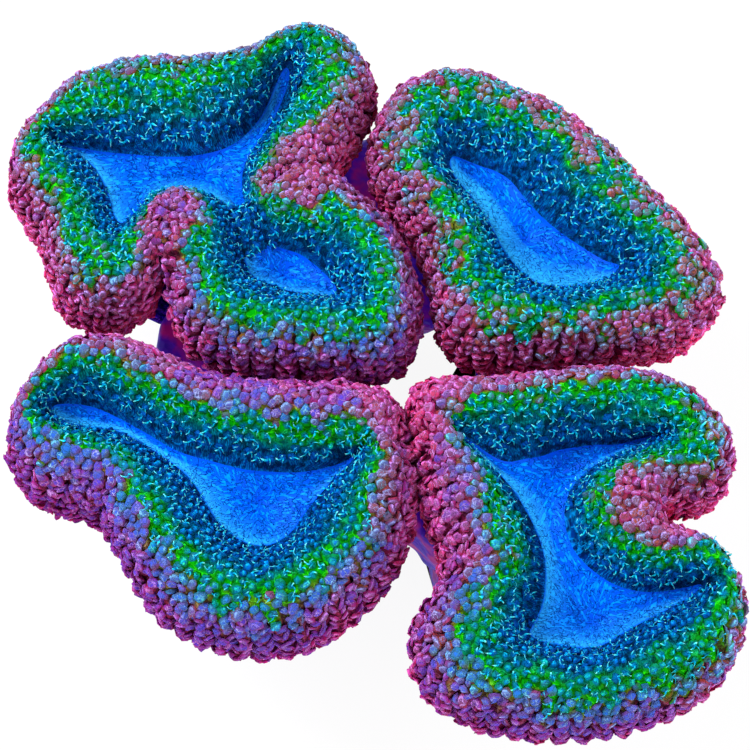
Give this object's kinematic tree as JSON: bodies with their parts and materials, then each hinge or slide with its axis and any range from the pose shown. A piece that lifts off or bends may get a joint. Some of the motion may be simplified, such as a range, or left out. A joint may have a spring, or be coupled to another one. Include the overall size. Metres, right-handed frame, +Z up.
{
  "type": "lobo coral",
  "caption": "Fleshy lobed brain coral colony: puffed, winding polyp lobes with sunken oral discs on leaning stalks and a flat-cut stump.",
  "frame": {"origin": "on the flat cut face under the stump, at the middle of the colony", "axes": "+Z up out of the cut face, +Y towards the two back lobes, +X towards the two right lobes"},
  "size_m": [0.1308, 0.1372, 0.0581],
  "materials": {
    "flesh_back_left": "wet, satin",
    "flesh_back_right": "wet, satin",
    "flesh_front_left": "wet, satin",
    "flesh_front_right": "wet, satin",
    "stump_skin": "matt, ribbed"
  },
  "bodies": {
    "root": {"trunk": "stump_skin", "lobe_back_left": "flesh_back_left", "lobe_back_right": "flesh_back_right", "lobe_front_left": "flesh_front_left", "lobe_front_right": "flesh_front_right"}
  },
  "joints": []
}
